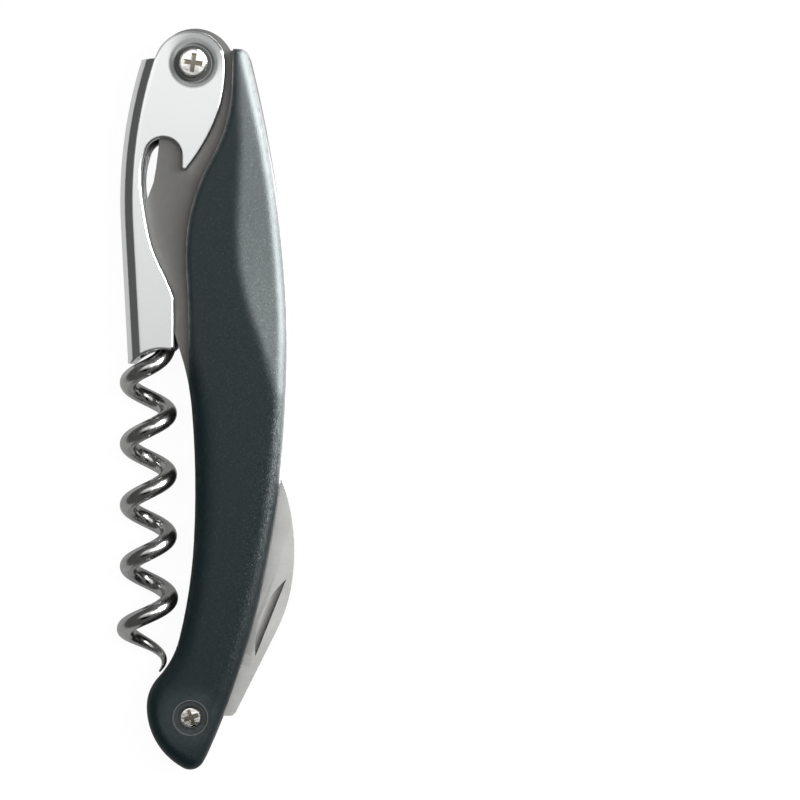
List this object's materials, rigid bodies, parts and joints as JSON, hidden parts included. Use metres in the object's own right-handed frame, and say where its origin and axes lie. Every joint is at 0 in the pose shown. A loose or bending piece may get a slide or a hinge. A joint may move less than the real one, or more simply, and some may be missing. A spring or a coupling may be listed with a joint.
{
  "type": "lever corkscrew",
  "caption": "Folding waiter's corkscrew: a curved painted handle with a pressed-steel bottle lever and cap lifter, a fold-out wire worm and a serrated foil knife.",
  "frame": {"origin": "centre of the bounding box at its underside, on the plane of the rear handle face that the folded tool lies on", "axes": "+Y along the handle from the knife end to the lever end, +X towards the back of the handle, +Z out of the front face"},
  "size_m": [0.0284, 0.1176, 0.013],
  "materials": {
    "handle_paint": "satin metallic dark grey-green paint",
    "lever_steel": "bright plated pressed steel",
    "worm_steel": "polished wire",
    "blade_steel": "satin ground steel",
    "hardware_steel": "plated steel"
  },
  "bodies": {
    "handle": {"handle_half_front": "handle_paint", "handle_half_rear": "handle_paint", "lever_pivot_sleeve": "hardware_steel", "lever_pivot_screw": "hardware_steel", "lever_washer_front": "hardware_steel", "lever_washer_rear": "hardware_steel", "worm_pivot_pin": "hardware_steel", "worm_washer_front": "hardware_steel", "worm_washer_rear": "hardware_steel", "knife_pivot_sleeve": "hardware_steel", "knife_pivot_screw": "hardware_steel", "knife_washer_front": "hardware_steel", "knife_washer_rear": "hardware_steel", "back_spring": "hardware_steel", "spring_pin_upper": "hardware_steel", "spring_pin_lower": "hardware_steel", "dowel_upper": "hardware_steel", "dowel_lower": "hardware_steel"},
    "lever": {"lever": "lever_steel"},
    "worm": {"worm": "worm_steel"},
    "knife": {"knife_blade": "blade_steel"}
  },
  "joints": [
    {"name": "lever_fold", "type": "hinge", "parent": "handle", "child": "lever", "pos_m": [-0.00159, 0.05312, 0.0065], "axis": [0, 0, -1], "range_deg": [0, 150]},
    {"name": "worm_fold", "type": "hinge", "parent": "handle", "child": "worm", "pos_m": [-0.00719, 0.02732, 0.0065], "axis": [0, 0, -1], "range_deg": [0, 90]},
    {"name": "knife_fold", "type": "hinge", "parent": "handle", "child": "knife", "pos_m": [-0.00199, -0.05038, 0.0065], "axis": [0, 0, -1], "range_deg": [0, 180], "deforming": ["back_spring"]}
  ],
  "couplings": [
    {"joint": "worm_fold", "follows": "lever_fold", "ratio": 0.6}
  ]
}
